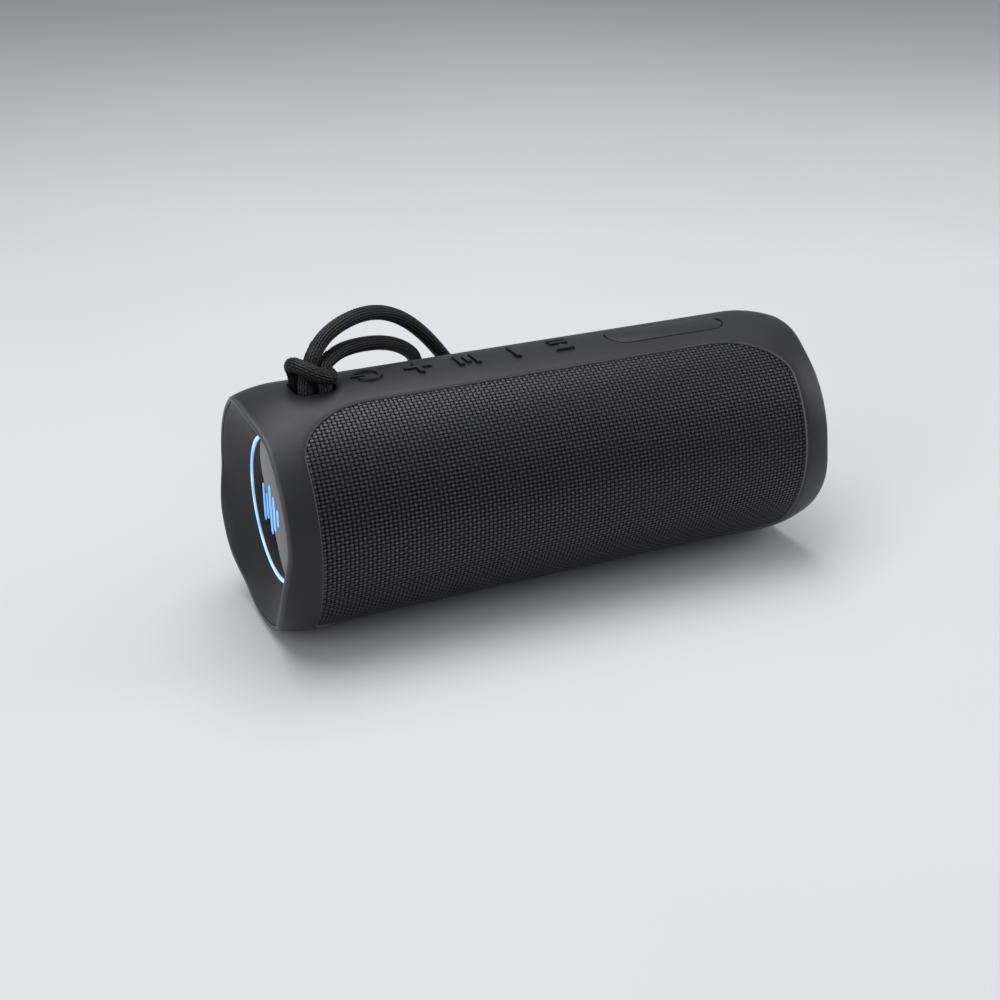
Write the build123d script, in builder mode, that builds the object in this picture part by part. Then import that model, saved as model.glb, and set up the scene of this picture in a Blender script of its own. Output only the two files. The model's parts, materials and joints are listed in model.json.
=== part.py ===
"""Portable shower speaker: a cloth-sided barrel with lobed ends, lit end discs,
a row of symbol keys, a port cover and a cord lanyard.

Millimetres. +X runs along the barrel towards the ports, -Y is the front, +Z is up.
The origin is under the middle of the barrel, on the surface it stands on.
"""
import os
from math import cos, degrees, pi, radians, sin, tan

from build123d import *

# ------------------------------------------------------------------ driving sizes
AXIS_Z = 40.5  # height of the barrel's axis
BODY_R = 40.0
WALL = 2.0
LOBE_X = 98.6  # half length, at the lobes of the rim
GAP_X = 96.4  # half length, in the gaps between the lobes
TAPER_X = 83.2  # where the barrel starts to narrow
RIM_R = 36.45
LIP = 1.25  # width of the rim

WINDOW_HALF_ANGLE = 70.0  # cloth windows, each side of level
WINDOW_X = 86.4
CORNER_X = 62.0  # where a window's rounded corner starts
CORNER_ANGLE = 57.0  # middle of a corner
CORNER_LOW_ANGLE = 43.0

CLOTH_R = (38.3, 39.4)
GRILLE_R = (36.4, 37.5)
GRILLE_X = 83.0

CABINET_R = 36.0
CABINET_X = 80.0
CABINET_WALL = 2.0
DECK_Z = 27.0  # flat top of the cabinet, above the axis
POCKET_Z = 22.5  # floor of the pocket under the ports
BAFFLE_Y = -27.0

DRIVER_X = 42.0
RADIATOR_HOLE_R = 20.5
SCREW_CIRCLE_R = 30.0
DISC_R = 23.1
DISC_X = (88.5, 89.9)
DISC_DOME = 0.8  # rise of the disc's middle over its edge
LED_R = (23.4, 24.15)
LED_FACE_X = 90.3
DISH_R = 24.4

KEY_PITCH = 16.96
KEY_START_X = -56.3
KEY_TOP = 40.65
FLANGE = (5.8, 36.0, 37.15)  # radius, underside and top of a key's flange
KEY_GAP = 0.25

PORT_X = 51.5
PORT_SIZE = (45.0, 13.0)
BAY_FLOOR = (29.6, 31.0)
BAY_TOP = 36.6
SOCKET_TOP = 31.4
PORT_BOARD = (22.8, 23.8)

SLOT_X = -75.0
SLOT_SIZE = (13.4, 13.6)
BAR_Z = 35.2
BAR_R = 1.3
CORD_D = 5.0

SIDE = Plane(origin=(0, 0, AXIS_Z), x_dir=(1, 0, 0), z_dir=(0, -1, 0))
AXIS_PLANE = Plane(origin=(0, 0, AXIS_Z))
BARREL = Axis((0, 0, AXIS_Z), (1, 0, 0))
ENDS = (("left", -1), ("right", 1))

os.makedirs("parts", exist_ok=True)


def save(piece, name):
    """Label a finished piece and write it."""
    piece.part.label = name
    export_step(piece.part, f"parts/{name}.step")


def radial_plane(angle):
    """Plane through the axis, facing out at an angle from the front, upwards."""
    turn = radians(angle)
    return Plane(origin=(0, 0, AXIS_Z), x_dir=(1, 0, 0), z_dir=(0, -cos(turn), sin(turn)))


def axial_plane(angle):
    """Plane that holds the axis, with its local y pointing out at an angle."""
    turn = radians(angle)
    return Plane(origin=(0, 0, AXIS_Z), x_dir=(1, 0, 0), z_dir=(0, -sin(turn), -cos(turn)))


def level(height):
    """Horizontal plane at a height above the axis."""
    return AXIS_PLANE.offset(height)


def ring(low_x, high_x, inner_r, outer_r):
    """Round band about the barrel's axis."""
    with BuildPart() as band:
        with BuildSketch(SIDE):
            with Locations(((low_x + high_x) / 2, (inner_r + outer_r) / 2)):
                Rectangle(high_x - low_x, outer_r - inner_r)
        revolve(axis=BARREL)
    return band.part


def end_ring(end, near_x, far_x, inner_r, outer_r):
    """Round band at one end, with its two faces counted from the middle."""
    low, high = sorted((end * near_x, end * far_x))
    return ring(low, high, inner_r, outer_r)


def dome(end, flat_x, top_x, radius):
    """Shallow cap at one end, from its flat back to its top on the axis."""
    with BuildPart() as cap:
        with BuildSketch(SIDE):
            with BuildLine():
                Polyline((end * top_x, 0), (end * flat_x, 0), (end * flat_x, radius))
                Line((end * flat_x, radius), (end * (top_x - DISC_DOME), radius))
                RadiusArc(
                    (end * (top_x - DISC_DOME), radius),
                    (end * top_x, 0),
                    end * (radius**2 + DISC_DOME**2) / (2 * DISC_DOME),
                )
            make_face()
        revolve(axis=BARREL)
    return cap.part


def sector(middle, half_angle, half_x, inner_r, outer_r):
    """Part of a round band, centred on an angle."""
    with BuildPart() as wedge:
        with BuildSketch(axial_plane(middle + half_angle)):
            with Locations((0, (inner_r + outer_r) / 2)):
                Rectangle(2 * half_x, outer_r - inner_r)
        revolve(axis=BARREL, revolution_arc=2 * half_angle)
    return wedge.part


def window(middle, margin):
    """Rounded window shape, cut square to the barrel, smaller by a margin."""
    trim = degrees(margin / BODY_R)
    edge = WINDOW_X - margin
    top = BODY_R * sin(radians(WINDOW_HALF_ANGLE - CORNER_ANGLE)) - margin
    low = BODY_R * sin(radians(CORNER_LOW_ANGLE - CORNER_ANGLE))
    with BuildPart() as shape:
        add(sector(middle, WINDOW_HALF_ANGLE - trim, CORNER_X, 30, 44))
        add(sector(middle, CORNER_LOW_ANGLE, edge, 30, 44))
        for up in (-1, 1):
            for _, end in ENDS:
                with BuildSketch(radial_plane(middle + up * CORNER_ANGLE).offset(30)):
                    with BuildLine():
                        Polyline(
                            (end * CORNER_X, up * top),
                            (end * (CORNER_X - 2), up * top),
                            (end * (CORNER_X - 2), up * (low - 3)),
                            (end * edge, up * (low - 3)),
                            (end * edge, up * low),
                        )
                        Spline(
                            (end * edge, up * low),
                            (end * (WINDOW_X - 7.2 - 0.7 * margin), up * (2.2 - 0.7 * margin)),
                            (end * CORNER_X, up * top),
                            tangents=[(0, up), (-end, 0)],
                        )
                    make_face()
                extrude(amount=14)
    return shape.part


def gap_cutter(end, angle, inset):
    """Shape that leaves a rim with smooth lobes, cut across one gap."""
    high = LOBE_X - inset
    low = GAP_X - inset
    wave = ((high, -38), (high, -28), (low, -17), (low, 17), (high, 28), (high, 38))
    with BuildPart() as cutter:
        with BuildSketch(radial_plane(angle).offset(12)):
            with BuildLine():
                FilletPolyline(*[(end * x, y) for x, y in wave], radius=30)
                Polyline(
                    (end * high, 38), (end * (LOBE_X + 6), 38), (end * (LOBE_X + 6), -38), (end * high, -38)
                )
            make_face()
        extrude(amount=32)
    return cutter.part


def lobed(end, inset):
    """The three gap cutters of one end."""
    return [gap_cutter(end, angle, inset) for angle in (30, 150, 270)]


def stadium(middle_x, length, width, low, high):
    """Upright block with round ends."""
    with BuildPart() as block:
        with BuildSketch(level(low)):
            with Locations((middle_x, 0)):
                SlotOverall(length, width)
        extrude(amount=high - low)
    return block.part


def rounded_block(middle, size, low, high, corner):
    """Upright block with rounded corners."""
    with BuildPart() as block:
        with BuildSketch(level(low)):
            with Locations(middle):
                RectangleRounded(*size, corner)
        extrude(amount=high - low)
    return block.part


# ------------------------------------------------------------------ key symbols
def power_symbol(gap):
    with BuildSketch() as symbol:
        Circle(4.4 + gap)
        Circle(3.2 - gap, mode=Mode.SUBTRACT)
        with Locations((-4, 0)):
            Rectangle(5, 4.0 - 2 * gap, mode=Mode.SUBTRACT)
        with Locations((-3.5, 0)):
            Rectangle(4.0 + 2 * gap, 1.1 + 2 * gap)
    return symbol.sketch


def plus_symbol(gap):
    with BuildSketch() as symbol:
        Rectangle(9 + 2 * gap, 1.5 + 2 * gap)
        Rectangle(1.5 + 2 * gap, 9 + 2 * gap)
    return symbol.sketch


def mode_symbol(gap):
    """Three level bars, in place of a letter."""
    with BuildSketch() as symbol:
        for offset, length in ((-2.9, 8.0), (0, 5.0), (2.9, 8.0)):
            with Locations((offset, 0)):
                Rectangle(1.4 + 2 * gap, length + 2 * gap)
    return symbol.sketch


def minus_symbol(gap):
    with BuildSketch() as symbol:
        Rectangle(1.5 + 2 * gap, 9 + 2 * gap)
    return symbol.sketch


def play_symbol(gap):
    with BuildSketch() as symbol:
        with BuildLine():
            Polyline((-3.2, -4.6), (3.2, -4.6), (0, -0.2), close=True)
        make_face()
        offset(amount=gap, kind=Kind.INTERSECTION)
        for height in (1.5, 3.9):
            with Locations((0, height)):
                Rectangle(6.4 + 2 * gap, 1.3 + 2 * gap)
    return symbol.sketch


KEYS = (
    ("power_key", power_symbol),
    ("plus_key", plus_symbol),
    ("mode_key", mode_symbol),
    ("minus_key", minus_symbol),
    ("play_key", play_symbol),
)
KEY_X = [KEY_START_X + KEY_PITCH * place for place in range(len(KEYS))]


# ------------------------------------------------------------------ housing
with BuildPart() as outer_shell:
    with BuildSketch(SIDE):
        with BuildLine():
            Line((-TAPER_X, BODY_R), (TAPER_X, BODY_R))
            Line((-TAPER_X, BODY_R - WALL), (TAPER_X, BODY_R - WALL))
            for _, end in ENDS:
                rim = end * (LOBE_X + 1.1)
                TangentArc((end * TAPER_X, BODY_R), (rim, RIM_R), tangent=(end, 0))
                TangentArc((end * TAPER_X, BODY_R - WALL), (rim, RIM_R - LIP), tangent=(end, 0))
                Line((rim, RIM_R), (rim, RIM_R - LIP))
        make_face()
    revolve(axis=BARREL)
    for _, end in ENDS:
        for cutter in lobed(end, 0):
            add(cutter, mode=Mode.SUBTRACT)
    for middle in (0, 180):
        add(window(middle, 0), mode=Mode.SUBTRACT)
    for x, (_, symbol) in zip(KEY_X, KEYS):
        with BuildSketch(Plane(origin=(x, 0, AXIS_Z + FLANGE[1]))):
            add(symbol(KEY_GAP))
        extrude(amount=8, mode=Mode.SUBTRACT)
    add(stadium(PORT_X, *PORT_SIZE, BAY_FLOOR[0], 44), mode=Mode.SUBTRACT)
    add(rounded_block((SLOT_X, 0), SLOT_SIZE, 30, 44, 3.5), mode=Mode.SUBTRACT)
    for x in (-45, 45):
        add(rounded_block((x, 0), (50.4, 14.4), -44, -39.1, 5), mode=Mode.SUBTRACT)
save(outer_shell, "outer_shell")

for name, middle in (("front", 0), ("rear", 180)):
    with BuildPart() as cloth:
        add(ring(-95, 95, *CLOTH_R))
        add(window(middle, 0.25), mode=Mode.INTERSECT)
    save(cloth, f"{name}_cloth")

    with BuildPart() as grille:
        add(sector(middle, 72, GRILLE_X, *GRILLE_R))
        for row in range(17):
            with BuildSketch(radial_plane(middle - 60 + 7.5 * row).offset(35)):
                with GridLocations(23.2, 1, 7, 1):
                    SlotOverall(19, 2.8)
            extrude(amount=4, mode=Mode.SUBTRACT)
    save(grille, f"{name}_grille")

with BuildPart() as foot_pads:
    for x in (-45, 45):
        add(rounded_block((x, 0), (50, 14), -AXIS_Z, -39.2, 4.8))
save(foot_pads, "foot_pads")


# ------------------------------------------------------------------ acoustic cabinet
def cabinet_block(inset):
    """Cabinet outline, smaller by an inset."""
    half_x = CABINET_X - inset
    with BuildPart() as block:
        with BuildSketch(SIDE):
            with Locations((0, (CABINET_R - inset) / 2)):
                Rectangle(2 * half_x, CABINET_R - inset)
        revolve(axis=BARREL)
        with Locations((0, 0, AXIS_Z + DECK_Z - inset)):
            Box(200, 100, 40, align=(Align.CENTER, Align.CENTER, Align.MIN), mode=Mode.SUBTRACT)
        with Locations((PORT_X, 0, AXIS_Z + POCKET_Z - inset)):
            Box(
                49 + 2 * inset,
                20 + 2 * inset,
                40,
                align=(Align.CENTER, Align.CENTER, Align.MIN),
                mode=Mode.SUBTRACT,
            )
        with Locations((0, BAFFLE_Y + inset, AXIS_Z)):
            Box(200, 40, 100, align=(Align.CENTER, Align.MAX, Align.CENTER), mode=Mode.SUBTRACT)
    return block.part


def cabinet_wall(inset, thickness):
    """Hollow cabinet with its driver and radiator holes."""
    with BuildPart() as wall:
        add(cabinet_block(inset))
        add(cabinet_block(inset + thickness), mode=Mode.SUBTRACT)
        for x in (-DRIVER_X, DRIVER_X):
            with BuildSketch(Plane(origin=(x, -20, AXIS_Z), x_dir=(1, 0, 0), z_dir=(0, -1, 0))):
                Circle(19.3)
                with PolarLocations(20.6, 4, start_angle=45):
                    Circle(0.8)
            extrude(amount=20, mode=Mode.SUBTRACT)
        add(ring(-CABINET_X - 5, CABINET_X + 5, 0, RADIATOR_HOLE_R), mode=Mode.SUBTRACT)
        for near_x in (-CABINET_X - 10, CABINET_X - 4):
            with BuildSketch(Plane(origin=(near_x, 0, AXIS_Z), x_dir=(0, 1, 0), z_dir=(1, 0, 0))):
                with PolarLocations(SCREW_CIRCLE_R, 6):
                    Circle(1.1)
            extrude(amount=14, mode=Mode.SUBTRACT)
    return wall.part


with BuildPart() as cabinet_front:
    add(cabinet_wall(0, CABINET_WALL))
    split(bisect_by=Plane.XZ.offset(0.4), keep=Keep.TOP)
save(cabinet_front, "cabinet_front")

with BuildPart() as cabinet_rear:
    add(cabinet_wall(0, CABINET_WALL))
    split(bisect_by=Plane.XZ.offset(-0.4), keep=Keep.BOTTOM)
save(cabinet_rear, "cabinet_rear")

with BuildPart() as cabinet_gasket:
    add(cabinet_wall(0.3, CABINET_WALL - 0.6))
    split(bisect_by=Plane.XZ.offset(0.38), keep=Keep.BOTTOM)
    split(bisect_by=Plane.XZ.offset(-0.38), keep=Keep.TOP)
save(cabinet_gasket, "cabinet_gasket")


# ------------------------------------------------------------------ lit ends and passive radiators
with BuildPart() as radiator_frames:
    for _, end in ENDS:
        channel = (
            (80.1, RADIATOR_HOLE_R),
            (80.1, 34.4),
            (85.6, 34.4),
            (85.6, 33.0),
            (82.1, 33.0),
            (82.1, 27.4),
            (85.6, 27.4),
            (85.6, 25.95),
            (81.7, 25.95),
            (81.7, RADIATOR_HOLE_R),
        )
        with BuildSketch(SIDE):
            with BuildLine():
                Polyline(*[(end * x, r) for x, r in channel], close=True)
            make_face()
        revolve(axis=BARREL)
        with BuildSketch(Plane(origin=(end * 78, 0, AXIS_Z), x_dir=(0, 1, 0), z_dir=(end, 0, 0))):
            with PolarLocations(SCREW_CIRCLE_R, 6):
                Circle(1.15)
        extrude(amount=5, mode=Mode.SUBTRACT)
    with Locations((SLOT_X - 8.2, 0, AXIS_Z + DECK_Z)):
        Box(10, 16.6, 12, align=(Align.MIN, Align.CENTER, Align.MIN), mode=Mode.SUBTRACT)
save(radiator_frames, "radiator_frames")

with BuildPart() as radiator_screws:
    for _, end in ENDS:
        face = Plane(origin=(end * 82.15, 0, AXIS_Z), x_dir=(0, 1, 0), z_dir=(end, 0, 0))
        with BuildSketch(face.offset(-4.5)):
            with PolarLocations(SCREW_CIRCLE_R, 6):
                Circle(1.0)
        extrude(amount=4.5)
        with BuildSketch(face):
            with PolarLocations(SCREW_CIRCLE_R, 6):
                Circle(1.9)
                Rectangle(2.2, 0.5, mode=Mode.SUBTRACT)
        extrude(amount=1.2)
        with BuildSketch(face):
            with PolarLocations(SCREW_CIRCLE_R, 6):
                Circle(1.9)
        extrude(amount=0.6)
save(radiator_screws, "radiator_screws")

with BuildPart() as radiator_surrounds:
    for _, end in ENDS:
        with BuildSketch(SIDE):
            with BuildLine():
                Polyline(
                    (end * 82.3, 20.6), (end * 82.3, 24.5), (end * 81.72, 24.5), (end * 81.72, 20.0)
                )
                ThreePointArc((end * 81.72, 20.0), (end * 83.0, 18.8), (end * 81.72, 17.6))
                Line((end * 81.72, 17.6), (end * 82.2, 17.3))
                ThreePointArc((end * 82.2, 17.3), (end * 83.5, 18.9), (end * 82.3, 20.6))
            make_face()
        revolve(axis=BARREL)
save(radiator_surrounds, "radiator_surrounds")

with BuildPart() as led_boards:
    for _, end in ENDS:
        add(end_ring(end, 85.7, 86.7, LED_R[0] - 0.2, 33.6))
save(led_boards, "led_boards")

for name, end in ENDS:
    with BuildPart() as end_cap:
        with BuildSketch(SIDE):
            with BuildLine():
                TangentArc((end * TAPER_X, 37.9), (end * 99.3, 35.08), tangent=(end, 0))
                Line((end * 99.3, 35.08), (end * 99.3, 34.9))
                ThreePointArc((end * 99.3, 34.9), (end * 94.9, 31.7), (end * (LED_FACE_X - 0.1), DISH_R))
                Polyline(
                    (end * (LED_FACE_X - 0.1), DISH_R),
                    (end * 86.8, DISH_R),
                    (end * 86.8, 34.6),
                    (end * TAPER_X, 34.6),
                    (end * TAPER_X, 37.9),
                )
            make_face()
        revolve(axis=BARREL)
        for cutter in lobed(end, 0.35):
            add(cutter, mode=Mode.SUBTRACT)
    save(end_cap, f"{name}_end_cap")

    with BuildPart() as led_ring:
        add(end_ring(end, 86.75, LED_FACE_X, *LED_R))
        fillet(led_ring.edges().filter_by(GeomType.CIRCLE).group_by(Axis.X)[-1 if end > 0 else 0], 0.2)
    save(led_ring, f"{name}_led_ring")

    with BuildPart() as end_disc:
        add(end_ring(end, DISC_X[0], DISC_X[1] - 0.3, 0, DISC_R))
        add(dome(end, DISC_X[1] - 0.3, DISC_X[1] + DISC_DOME, DISC_R - 0.2))
    save(end_disc, f"{name}_end_disc")

    with BuildPart() as radiator_plate:
        add(end_ring(end, 81.2, 82.7, 0, 17.0))
        add(end_ring(end, 82.7, DISC_X[0], 0, 6.0))
    save(radiator_plate, f"{name}_radiator_plate")

    with BuildPart() as end_icon:
        with BuildSketch(Plane(origin=(end * DISC_X[1], 0, AXIS_Z), x_dir=(0, 1, 0), z_dir=(end, 0, 0))):
            for place, length in enumerate((6, 12, 17, 9, 13)):
                with Locations(((place - 2) * 3.6, 0)):
                    SlotOverall(length, 2.0, rotation=90)
        extrude(amount=3)
        add(dome(end, DISC_X[1] - 0.3, DISC_X[1] + DISC_DOME + 0.15, DISC_R - 0.2), mode=Mode.INTERSECT)
        add(dome(end, DISC_X[1] - 0.3, DISC_X[1] + DISC_DOME, DISC_R - 0.2), mode=Mode.SUBTRACT)
    save(end_icon, f"{name}_end_icon")


# ------------------------------------------------------------------ drivers
def turned(x, outline):
    """Round solid about a driver's axis, from points of radius and depth."""
    with BuildPart() as solid:
        with BuildSketch(AXIS_PLANE):
            with BuildLine():
                Polyline(*[(x + r, y) for r, y in outline], close=True)
            make_face()
        revolve(axis=Axis((x, 0, AXIS_Z), (0, 1, 0)))
    return solid.part


BASKET = (
    (18.2, -28.4),
    (21.8, -28.4),
    (21.8, -27.05),
    (19.0, -27.05),
    (13.5, -14.0),
    (13.5, -12.8),
    (7.5, -12.8),
    (7.5, -14.0),
    (12.4, -14.0),
    (17.4, -26.2),
    (18.2, -26.9),
)
SURROUND = (
    (15.95, -26.2),
    (16.6, -27.6),
    (17.4, -28.2),
    (18.15, -27.6),
    (18.15, -27.0),
    (17.3, -27.4),
    (16.6, -26.2),
)
STATIC_DRIVER_PIECES = (
    ("driver_top_plates", ((7.45, -12.75), (13.0, -12.75), (13.0, -10.45), (7.45, -10.45))),
    ("driver_magnets", ((8.2, -10.4), (14.5, -10.4), (14.5, -5.45), (8.2, -5.45))),
    ("driver_yokes", ((0, -13.6), (6.0, -13.6), (6.0, -5.4), (13.0, -5.4), (13.0, -3.4), (0, -3.4))),
    ("driver_spiders", ((7.4, -15.3), (12.0, -15.3), (12.0, -14.7), (7.4, -14.7))),
    ("driver_surrounds", SURROUND),
)

with BuildPart() as driver_baskets:
    for x in (-DRIVER_X, DRIVER_X):
        add(turned(x, BASKET))
        with Locations((x, -20, AXIS_Z)):
            Box(60, 7, 9, mode=Mode.SUBTRACT)
            Box(9, 7, 60, mode=Mode.SUBTRACT)
        with BuildSketch(Plane(origin=(x, -26, AXIS_Z), x_dir=(1, 0, 0), z_dir=(0, -1, 0))):
            with PolarLocations(20.6, 4, start_angle=45):
                Circle(0.8)
        extrude(amount=4, mode=Mode.SUBTRACT)
save(driver_baskets, "driver_baskets")

with BuildPart() as driver_screws:
    for x in (-DRIVER_X, DRIVER_X):
        with BuildSketch(Plane(origin=(x, -24.6, AXIS_Z), x_dir=(1, 0, 0), z_dir=(0, -1, 0))):
            with PolarLocations(20.6, 4, start_angle=45):
                Circle(0.7)
        extrude(amount=3.85)
        with BuildSketch(Plane(origin=(x, -28.45, AXIS_Z), x_dir=(1, 0, 0), z_dir=(0, -1, 0))):
            with PolarLocations(20.6, 4, start_angle=45):
                Circle(1.15)
        extrude(amount=0.7)
save(driver_screws, "driver_screws")

for piece_name, outline in STATIC_DRIVER_PIECES:
    with BuildPart() as pair:
        for x in (-DRIVER_X, DRIVER_X):
            add(turned(x, outline))
    save(pair, piece_name)

CONE = ((6.95, -19.0), (6.95, -19.7), (15.6, -26.6), (15.6, -25.9))
COIL = (
    (6.4, -20.5),
    (6.9, -20.5),
    (6.9, -13.4),
    (7.15, -13.4),
    (7.15, -9.6),
    (6.9, -9.6),
    (6.9, -8.4),
    (6.4, -8.4),
)
for name, end in ENDS:
    x = end * DRIVER_X
    for piece_name, outline in (("cone", CONE), ("voice_coil", COIL)):
        with BuildPart() as moving:
            add(turned(x, outline))
        save(moving, f"{name}_{piece_name}")
    with BuildPart() as dust_cap:
        with BuildSketch(AXIS_PLANE):
            with BuildLine():
                Line((x, -22.9), (x, -23.4))
                TangentArc((x, -23.4), (x + 6.85, -20.6), tangent=(1, 0))
                Line((x + 6.85, -20.6), (x + 6.4, -20.6))
                TangentArc((x, -22.9), (x + 6.4, -20.6), tangent=(1, 0))
            make_face()
        revolve(axis=Axis((x, 0, AXIS_Z), (0, 1, 0)))
    save(dust_cap, f"{name}_dust_cap")


# ------------------------------------------------------------------ keys and electronics
for x, (name, symbol) in zip(KEY_X, KEYS):
    with BuildPart() as key:
        with BuildSketch(Plane(origin=(x, 0, AXIS_Z + FLANGE[1]))):
            Circle(FLANGE[0])
        extrude(amount=FLANGE[2] - FLANGE[1])
        with BuildSketch(Plane(origin=(x, 0, AXIS_Z + FLANGE[1]))):
            add(symbol(0))
        extrude(amount=KEY_TOP - FLANGE[1])
    save(key, name)

with BuildPart() as button_switches:
    for x in KEY_X:
        add(rounded_block((x, 0), (6.0, 6.0), 32.4, 34.8, 0.3))
        with BuildSketch(Plane(origin=(x, 0, AXIS_Z + 34.8))):
            Circle(1.6)
        extrude(amount=0.65)
save(button_switches, "button_switches")

BLOCKS = (
    ("button_board", ((-22, 0), (86, 16), 31.3, 32.4, 1.5)),
    ("main_board", ((-20, 0), (88, 22), 28.2, 29.4, 1.5)),
)
for name, block in BLOCKS:
    with BuildPart() as board:
        add(rounded_block(*block))
    save(board, name)

with BuildPart() as board_chips:
    for place, size, height in (
        ((-48, 0), (12, 12), 1.2),
        ((-28, 2), (15, 13), 1.8),
        ((-6, -2), (9, 9), 1.0),
        ((14, 0), (6, 14), 1.7),
    ):
        add(rounded_block(place, size, 29.4, 29.4 + height, 0.3))
save(board_chips, "board_chips")

with BuildPart() as board_spacers:
    with BuildSketch(level(DECK_Z)):
        with Locations((-20, 0)):
            with GridLocations(80, 16, 2, 2):
                Circle(2.2)
    extrude(amount=1.2)
save(board_spacers, "board_spacers")

with BuildPart() as battery_cells:
    with BuildSketch(Plane(origin=(-32.5, 0, AXIS_Z), x_dir=(0, 1, 0), z_dir=(1, 0, 0))):
        with Locations((15, 9.7), (15, -9.7)):
            Circle(9.2)
    extrude(amount=65)
save(battery_cells, "battery_cells")

with BuildPart() as battery_holder:
    with Locations((-34.2, 15, AXIS_Z), (34.2, 15, AXIS_Z)):
        Box(3, 19, 38)
    with Locations((0, 25.5, AXIS_Z)):
        Box(71.4, 2, 38)
save(battery_holder, "battery_holder")


# ------------------------------------------------------------------ ports
with BuildPart() as port_cover:
    with BuildSketch(level(36)):
        with Locations((PORT_X, 0)):
            SlotOverall(PORT_SIZE[0] - 0.6, PORT_SIZE[1] - 0.6)
    extrude(amount=8)
    add(ring(0, 90, 38.4, BODY_R), mode=Mode.INTERSECT)
    with BuildSketch(level(35)):
        with Locations((PORT_X + 1, 0)):
            SlotOverall(39, 9)
            SlotOverall(36.6, 6.6, mode=Mode.SUBTRACT)
    extrude(amount=3.7)
    with BuildSketch(level(39.2)):
        with Locations((PORT_X + 29.6, 0)):
            Circle(8.4)
    extrude(amount=3, mode=Mode.SUBTRACT)
save(port_cover, "port_cover")

with BuildPart() as port_bay:
    add(stadium(PORT_X, 48.5, 16, BAY_FLOOR[0], BAY_TOP))
    add(stadium(PORT_X, 45.4, 13.4, BAY_FLOOR[1], BAY_TOP), mode=Mode.SUBTRACT)
    for x, size in ((37, (9.5, 3.9)), (50, (7.6, 7.6)), (64, (13.6, 2.9))):
        add(rounded_block((x, 0), size, BAY_FLOOR[0] - 1, BAY_TOP, 0.6), mode=Mode.SUBTRACT)
save(port_bay, "port_bay")

with BuildPart() as port_seal:
    add(stadium(PORT_X, 47.6, 15.2, BAY_TOP + 0.02, BAY_TOP + 0.45))
    add(stadium(PORT_X, 45.6, 13.6, BAY_TOP, BAY_TOP + 0.5), mode=Mode.SUBTRACT)
save(port_seal, "port_seal")

with BuildPart() as port_board:
    add(rounded_block((PORT_X, 0), (42, 14), *PORT_BOARD, 1))
save(port_board, "port_board")

with BuildPart() as usb_c_socket:
    add(rounded_block((37, 0), (9.0, 3.4), PORT_BOARD[1], SOCKET_TOP, 1.5))
    add(rounded_block((37, 0), (8.3, 2.6), PORT_BOARD[1] + 1, SOCKET_TOP, 1.2), mode=Mode.SUBTRACT)
    add(rounded_block((37, 0), (6.7, 0.7), PORT_BOARD[1], SOCKET_TOP - 0.8, 0.1))
save(usb_c_socket, "usb_c_socket")

with BuildPart() as aux_jack:
    add(rounded_block((50, 0), (7.0, 7.0), PORT_BOARD[1], SOCKET_TOP, 1.0))
    with BuildSketch(level(PORT_BOARD[1] + 0.6)):
        with Locations((50, 0)):
            Circle(1.8)
    extrude(amount=10, mode=Mode.SUBTRACT)
save(aux_jack, "aux_jack")

with BuildPart() as card_slot:
    add(rounded_block((64, 0), (13.0, 2.4), PORT_BOARD[1], SOCKET_TOP, 0.3))
    add(rounded_block((64, 0), (11.4, 1.2), PORT_BOARD[1] + 1, SOCKET_TOP, 0.1), mode=Mode.SUBTRACT)
save(card_slot, "card_slot")


# ------------------------------------------------------------------ lanyard
with BuildPart() as lanyard_cup:
    add(rounded_block((SLOT_X, 0), (16.0, 16.0), 27.2, 36.8, 4.5))
    add(rounded_block((SLOT_X, 0), SLOT_SIZE, 28.4, 36.8, 3.5), mode=Mode.SUBTRACT)
    with BuildSketch(Plane(origin=(SLOT_X - 9, 0, AXIS_Z + BAR_Z), x_dir=(0, 1, 0), z_dir=(1, 0, 0))):
        Circle(BAR_R + 0.05)
    extrude(amount=18, mode=Mode.SUBTRACT)
save(lanyard_cup, "lanyard_cup")

with BuildPart() as lanyard_bar:
    with BuildSketch(Plane(origin=(SLOT_X - 7.8, 0, AXIS_Z + BAR_Z), x_dir=(0, 1, 0), z_dir=(1, 0, 0))):
        Circle(BAR_R)
    extrude(amount=15.6)
save(lanyard_bar, "lanyard_bar")


def cord(route, radii):
    """Round cord along straight runs joined by arcs. Heights count from the axis."""
    with BuildPart() as tube:
        with BuildLine() as path:
            FilletPolyline(*[(x, y, z + AXIS_Z) for x, y, z in route], radius=radii)
        centre = path.wire()
        with BuildSketch(Plane(origin=centre @ 0, z_dir=centre % 0)):
            Circle(CORD_D / 2)
        sweep(path=centre)
    volume = pi * (CORD_D / 2) ** 2 * centre.length
    print(f"cord length {centre.length:.1f}, volume {tube.part.volume:.0f} of {volume:.0f}")
    return tube.part


def arc_radii(route):
    """The largest arc that each corner's two runs leave room for."""
    radii = []
    for before, here, after in zip(route, route[1:], route[2:]):
        inward = Vector(*here) - Vector(*before)
        outward = Vector(*after) - Vector(*here)
        turn = radians(inward.get_angle(outward))
        radii.append(0.45 * min(inward.length, outward.length) / tan(turn / 2))
    return radii


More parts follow.
